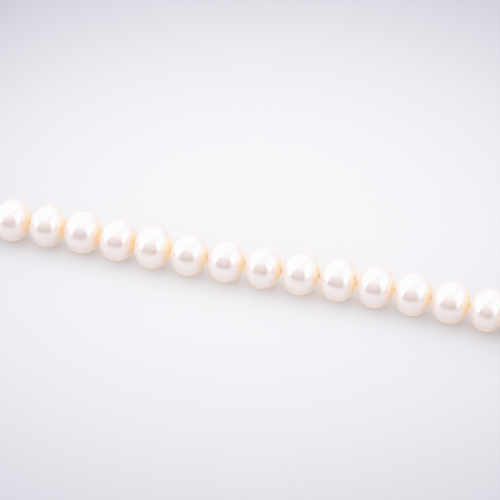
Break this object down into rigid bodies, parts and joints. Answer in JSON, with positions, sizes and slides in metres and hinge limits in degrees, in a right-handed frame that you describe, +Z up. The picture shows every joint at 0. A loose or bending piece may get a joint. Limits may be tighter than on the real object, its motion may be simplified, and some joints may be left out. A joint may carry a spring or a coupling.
{
  "type": "pearl necklace",
  "caption": "Single strand of off-round white pearls on silk, with a gilt lobster clasp and catch ring, laid open in a wide U.",
  "frame": {"origin": "on the surface that the necklace lies on, under the middle of its outline", "axes": "+X along the strand's straight front with the catch ring on the +X side, +Y towards the two open ends, +Z up from the surface"},
  "size_m": [0.2274, 0.1246, 0.0094],
  "materials": {
    "nacre": "satin pearl lustre, cream with a pink overtone",
    "silk": "matt twisted silk",
    "gilt": "polished gold plate on brass",
    "spring_steel": "plain steel"
  },
  "bodies": {
    "strand_23": {"pearl_23": "nacre", "stringing_silk": "silk"},
    "strand_01": {"pearl_01": "nacre", "clasp_gimp": "gilt"},
    "strand_02": {"pearl_02": "nacre"},
    "strand_03": {"pearl_03": "nacre"},
    "strand_04": {"pearl_04": "nacre"},
    "strand_05": {"pearl_05": "nacre"},
    "strand_06": {"pearl_06": "nacre"},
    "strand_07": {"pearl_07": "nacre"},
    "strand_08": {"pearl_08": "nacre"},
    "strand_09": {"pearl_09": "nacre"},
    "strand_10": {"pearl_10": "nacre"},
    "strand_11": {"pearl_11": "nacre"},
    "strand_12": {"pearl_12": "nacre"},
    "strand_13": {"pearl_13": "nacre"},
    "strand_14": {"pearl_14": "nacre"},
    "strand_15": {"pearl_15": "nacre"},
    "strand_16": {"pearl_16": "nacre"},
    "strand_17": {"pearl_17": "nacre"},
    "strand_18": {"pearl_18": "nacre"},
    "strand_19": {"pearl_19": "nacre"},
    "strand_20": {"pearl_20": "nacre"},
    "strand_21": {"pearl_21": "nacre"},
    "strand_22": {"pearl_22": "nacre"},
    "strand_24": {"pearl_24": "nacre"},
    "strand_25": {"pearl_25": "nacre"},
    "strand_26": {"pearl_26": "nacre"},
    "strand_27": {"pearl_27": "nacre"},
    "strand_28": {"pearl_28": "nacre"},
    "strand_29": {"pearl_29": "nacre"},
    "strand_30": {"pearl_30": "nacre"},
    "strand_31": {"pearl_31": "nacre"},
    "strand_32": {"pearl_32": "nacre"},
    "strand_33": {"pearl_33": "nacre"},
    "strand_34": {"pearl_34": "nacre"},
    "strand_35": {"pearl_35": "nacre"},
    "strand_36": {"pearl_36": "nacre"},
    "strand_37": {"pearl_37": "nacre"},
    "strand_38": {"pearl_38": "nacre"},
    "strand_39": {"pearl_39": "nacre"},
    "strand_40": {"pearl_40": "nacre"},
    "strand_41": {"pearl_41": "nacre"},
    "strand_42": {"pearl_42": "nacre"},
    "strand_43": {"pearl_43": "nacre"},
    "strand_44": {"pearl_44": "nacre"},
    "strand_45": {"pearl_45": "nacre", "catch_gimp": "gilt"},
    "clasp_jump_ring": {"clasp_jump_ring": "gilt"},
    "clasp": {"clasp_body": "gilt", "clasp_rivet": "spring_steel", "clasp_spring": "spring_steel"},
    "clasp_lever": {"clasp_lever": "gilt"},
    "catch_jump_ring": {"catch_jump_ring": "gilt"},
    "catch_ring": {"catch_ring": "gilt"}
  },
  "joints": [
    {"name": "clasp_jump_ring_swing", "type": "hinge", "parent": "strand_01", "child": "clasp_jump_ring", "pos_m": [-0.1086, 0.04708, 0.0026], "axis": [0, 0, 1], "range_deg": [-45, 45]},
    {"name": "clasp_lift", "type": "hinge", "parent": "clasp_jump_ring", "child": "clasp", "pos_m": [-0.10896, 0.04925, 0.0026], "axis": [0.9868, 0.162, 0], "range_deg": [0, 75]},
    {"name": "clasp_lever_press", "type": "hinge", "parent": "clasp", "child": "clasp_lever", "pos_m": [-0.10928, 0.05493, 0], "axis": [0, 0, 1], "range_deg": [0, 24], "stiffness_Nm_per_rad": 0.008, "springref_deg": -14.32, "deforming": ["clasp_spring"]},
    {"name": "catch_jump_ring_swing", "type": "hinge", "parent": "strand_45", "child": "catch_jump_ring", "pos_m": [0.10944, 0.04595, 0.0026], "axis": [0, 0, 1], "range_deg": [-45, 45]},
    {"name": "catch_ring_lift", "type": "hinge", "parent": "catch_jump_ring", "child": "catch_ring", "pos_m": [0.1098, 0.04812, 0.0026], "axis": [0.9867, -0.1627, 0], "range_deg": [0, 75]},
    {"name": "bend_23_24", "type": "hinge", "parent": "strand_23", "child": "strand_24", "pos_m": [0.00451, -0.05709, 0.0046], "axis": [0, 0, 1], "range_deg": [-18.48, 15.52], "deforming": ["stringing_silk"]},
    {"name": "bend_24_25", "type": "hinge", "parent": "strand_24", "child": "strand_25", "pos_m": [0.01271, -0.05667, 0.0046], "axis": [0, 0, -1], "range_deg": [-18.55, 15.45], "deforming": ["stringing_silk"]},
    {"name": "bend_25_26", "type": "hinge", "parent": "strand_25", "child": "strand_26", "pos_m": [0.02072, -0.05647, 0.0046], "axis": [0, 0, 1], "range_deg": [-14.58, 19.42], "deforming": ["stringing_silk"]},
    {"name": "bend_26_27", "type": "hinge", "parent": "strand_26", "child": "strand_27", "pos_m": [0.02881, -0.05661, 0.0046], "axis": [0, 0, -1], "range_deg": [-17.51, 16.49], "deforming": ["stringing_silk"]},
    {"name": "bend_27_28", "type": "hinge", "parent": "strand_27", "child": "strand_28", "pos_m": [0.03674, -0.05681, 0.0046], "axis": [0, 0, 1], "range_deg": [-16.77, 17.23], "deforming": ["stringing_silk"]},
    {"name": "bend_28_29", "type": "hinge", "parent": "strand_28", "child": "strand_29", "pos_m": [0.04483, -0.05706, 0.0046], "axis": [0, 0, -1], "range_deg": [-17.78, 16.22], "deforming": ["stringing_silk"]},
    {"name": "bend_29_30", "type": "hinge", "parent": "strand_29", "child": "strand_30", "pos_m": [0.0527, -0.0574, 0.0046], "axis": [0, 0, 1], "range_deg": [-16.69, 17.31], "deforming": ["stringing_silk"]},
    {"name": "bend_30_31", "type": "hinge", "parent": "strand_30", "child": "strand_31", "pos_m": [0.0609, -0.05781, 0.0046], "axis": [0, 0, -1], "range_deg": [-10.87, 23.13], "deforming": ["stringing_silk"]},
    {"name": "bend_31_32", "type": "hinge", "parent": "strand_31", "child": "strand_32", "pos_m": [0.06886, -0.05735, 0.0046], "axis": [0, 0, 1], "range_deg": [-31.76, 2.24], "deforming": ["stringing_silk"]},
    {"name": "bend_32_33", "type": "hinge", "parent": "strand_32", "child": "strand_33", "pos_m": [0.07656, -0.05484, 0.0046], "axis": [0, 0, -1], "range_deg": [-2.29, 31.71], "deforming": ["stringing_silk"]},
    {"name": "bend_33_34", "type": "hinge", "parent": "strand_33", "child": "strand_34", "pos_m": [0.08322, -0.05055, 0.0046], "axis": [0, 0, 1], "range_deg": [-31.7, 2.3], "deforming": ["stringing_silk"]},
    {"name": "bend_34_35", "type": "hinge", "parent": "strand_34", "child": "strand_35", "pos_m": [0.08868, -0.04459, 0.0046], "axis": [0, 0, -1], "range_deg": [-2.23, 31.77], "deforming": ["stringing_silk"]},
    {"name": "bend_35_36", "type": "hinge", "parent": "strand_35", "child": "strand_36", "pos_m": [0.0924, -0.03751, 0.0046], "axis": [0, 0, 1], "range_deg": [-30.78, 3.22], "deforming": ["stringing_silk"]},
    {"name": "bend_36_37", "type": "hinge", "parent": "strand_36", "child": "strand_37", "pos_m": [0.09436, -0.02964, 0.0046], "axis": [0, 0, -1], "range_deg": [-16.49, 17.51], "deforming": ["stringing_silk"]},
    {"name": "bend_37_38", "type": "hinge", "parent": "strand_37", "child": "strand_38", "pos_m": [0.09621, -0.02192, 0.0046], "axis": [0, 0, 1], "range_deg": [-17.51, 16.49], "deforming": ["stringing_silk"]},
    {"name": "bend_38_39", "type": "hinge", "parent": "strand_38", "child": "strand_39", "pos_m": [0.09804, -0.01393, 0.0046], "axis": [0, 0, -1], "range_deg": [-16.48, 17.52], "deforming": ["stringing_silk"]},
    {"name": "bend_39_40", "type": "hinge", "parent": "strand_39", "child": "strand_40", "pos_m": [0.09977, -0.00608, 0.0046], "axis": [0, 0, 1], "range_deg": [-17.51, 16.49], "deforming": ["stringing_silk"]},
    {"name": "bend_40_41", "type": "hinge", "parent": "strand_40", "child": "strand_41", "pos_m": [0.1014, 0.00163, 0.0046], "axis": [0, 0, -1], "range_deg": [-16.49, 17.51], "deforming": ["stringing_silk"]},
    {"name": "bend_41_42", "type": "hinge", "parent": "strand_41", "child": "strand_42", "pos_m": [0.103, 0.00956, 0.0046], "axis": [0, 0, 1], "range_deg": [-17.52, 16.48], "deforming": ["stringing_silk"]},
    {"name": "bend_42_43", "type": "hinge", "parent": "strand_42", "child": "strand_43", "pos_m": [0.10454, 0.01757, 0.0046], "axis": [0, 0, -1], "range_deg": [-16.49, 17.51], "deforming": ["stringing_silk"]},
    {"name": "bend_43_44", "type": "hinge", "parent": "strand_43", "child": "strand_44", "pos_m": [0.10597, 0.02533, 0.0046], "axis": [0, 0, 1], "range_deg": [-17.51, 16.49], "deforming": ["stringing_silk"]},
    {"name": "bend_44_45", "type": "hinge", "parent": "strand_44", "child": "strand_45", "pos_m": [0.10736, 0.03336, 0.0046], "axis": [0, 0, -1], "range_deg": [-16.49, 17.51], "deforming": ["stringing_silk"]},
    {"name": "bend_22_23", "type": "hinge", "parent": "strand_23", "child": "strand_22", "pos_m": [-0.00352, -0.0573, 0.0046], "axis": [0, 0, 1], "range_deg": [-16.66, 17.34], "deforming": ["stringing_silk"]},
    {"name": "bend_21_22", "type": "hinge", "parent": "strand_22", "child": "strand_21", "pos_m": [-0.0117, -0.05747, 0.0046], "axis": [0, 0, -1], "range_deg": [-18.24, 15.76], "deforming": ["stringing_silk"]},
    {"name": "bend_20_21", "type": "hinge", "parent": "strand_21", "child": "strand_20", "pos_m": [-0.01991, -0.05746, 0.0046], "axis": [0, 0, 1], "range_deg": [-14.97, 19.03], "deforming": ["stringing_silk"]},
    {"name": "bend_19_20", "type": "hinge", "parent": "strand_20", "child": "strand_19", "pos_m": [-0.02792, -0.05717, 0.0046], "axis": [0, 0, -1], "range_deg": [-17.94, 16.06], "deforming": ["stringing_silk"]},
    {"name": "bend_18_19", "type": "hinge", "parent": "strand_19", "child": "strand_18", "pos_m": [-0.03594, -0.05674, 0.0046], "axis": [0, 0, 1], "range_deg": [-19.18, 14.82], "deforming": ["stringing_silk"]},
    {"name": "bend_17_18", "type": "hinge", "parent": "strand_18", "child": "strand_17", "pos_m": [-0.04414, -0.05662, 0.0046], "axis": [0, 0, -1], "range_deg": [-14.02, 19.98], "deforming": ["stringing_silk"]},
    {"name": "bend_16_17", "type": "hinge", "parent": "strand_17", "child": "strand_16", "pos_m": [-0.05215, -0.05691, 0.0046], "axis": [0, 0, 1], "range_deg": [-17.57, 16.43], "deforming": ["stringing_silk"]},
    {"name": "bend_15_16", "type": "hinge", "parent": "strand_16", "child": "strand_15", "pos_m": [-0.06018, -0.05729, 0.0046], "axis": [0, 0, -1], "range_deg": [-23.69, 10.31], "deforming": ["stringing_silk"]},
    {"name": "bend_14_15", "type": "hinge", "parent": "strand_15", "child": "strand_14", "pos_m": [-0.06836, -0.05672, 0.0046], "axis": [0, 0, 1], "range_deg": [-2.14, 31.86], "deforming": ["stringing_silk"]},
    {"name": "bend_13_14", "type": "hinge", "parent": "strand_14", "child": "strand_13", "pos_m": [-0.07591, -0.05414, 0.0046], "axis": [0, 0, -1], "range_deg": [-31.77, 2.23], "deforming": ["stringing_silk"]},
    {"name": "bend_12_13", "type": "hinge", "parent": "strand_13", "child": "strand_12", "pos_m": [-0.08265, -0.04966, 0.0046], "axis": [0, 0, 1], "range_deg": [-2.1, 31.9], "deforming": ["stringing_silk"]},
    {"name": "bend_11_12", "type": "hinge", "parent": "strand_12", "child": "strand_11", "pos_m": [-0.08804, -0.04356, 0.0046], "axis": [0, 0, -1], "range_deg": [-31.76, 2.24], "deforming": ["stringing_silk"]},
    {"name": "bend_10_11", "type": "hinge", "parent": "strand_11", "child": "strand_10", "pos_m": [-0.0916, -0.03648, 0.0046], "axis": [0, 0, 1], "range_deg": [-4.22, 29.78], "deforming": ["stringing_silk"]},
    {"name": "bend_09_10", "type": "hinge", "parent": "strand_10", "child": "strand_09", "pos_m": [-0.09356, -0.02858, 0.0046], "axis": [0, 0, -1], "range_deg": [-17.51, 16.49], "deforming": ["stringing_silk"]},
    {"name": "bend_08_09", "type": "hinge", "parent": "strand_09", "child": "strand_08", "pos_m": [-0.09542, -0.02079, 0.0046], "axis": [0, 0, 1], "range_deg": [-16.49, 17.51], "deforming": ["stringing_silk"]},
    {"name": "bend_07_08", "type": "hinge", "parent": "strand_08", "child": "strand_07", "pos_m": [-0.09719, -0.01308, 0.0046], "axis": [0, 0, -1], "range_deg": [-17.51, 16.49], "deforming": ["stringing_silk"]},
    {"name": "bend_06_07", "type": "hinge", "parent": "strand_07", "child": "strand_06", "pos_m": [-0.09895, -0.00506, 0.0046], "axis": [0, 0, 1], "range_deg": [-16.49, 17.51], "deforming": ["stringing_silk"]},
    {"name": "bend_05_06", "type": "hinge", "parent": "strand_06", "child": "strand_05", "pos_m": [-0.10059, 0.00276, 0.0046], "axis": [0, 0, -1], "range_deg": [-17.51, 16.49], "deforming": ["stringing_silk"]},
    {"name": "bend_04_05", "type": "hinge", "parent": "strand_05", "child": "strand_04", "pos_m": [-0.10219, 0.0107, 0.0046], "axis": [0, 0, 1], "range_deg": [-16.49, 17.51], "deforming": ["stringing_silk"]},
    {"name": "bend_03_04", "type": "hinge", "parent": "strand_04", "child": "strand_03", "pos_m": [-0.10369, 0.01852, 0.0046], "axis": [0, 0, -1], "range_deg": [-17.51, 16.49], "deforming": ["stringing_silk"]},
    {"name": "bend_02_03", "type": "hinge", "parent": "strand_03", "child": "strand_02", "pos_m": [-0.10517, 0.0266, 0.0046], "axis": [0, 0, 1], "range_deg": [-16.48, 17.52], "deforming": ["stringing_silk"]},
    {"name": "bend_01_02", "type": "hinge", "parent": "strand_02", "child": "strand_01", "pos_m": [-0.10655, 0.03459, 0.0046], "axis": [0, 0, -1], "range_deg": [-17.51, 16.49], "deforming": ["stringing_silk"]}
  ]
}
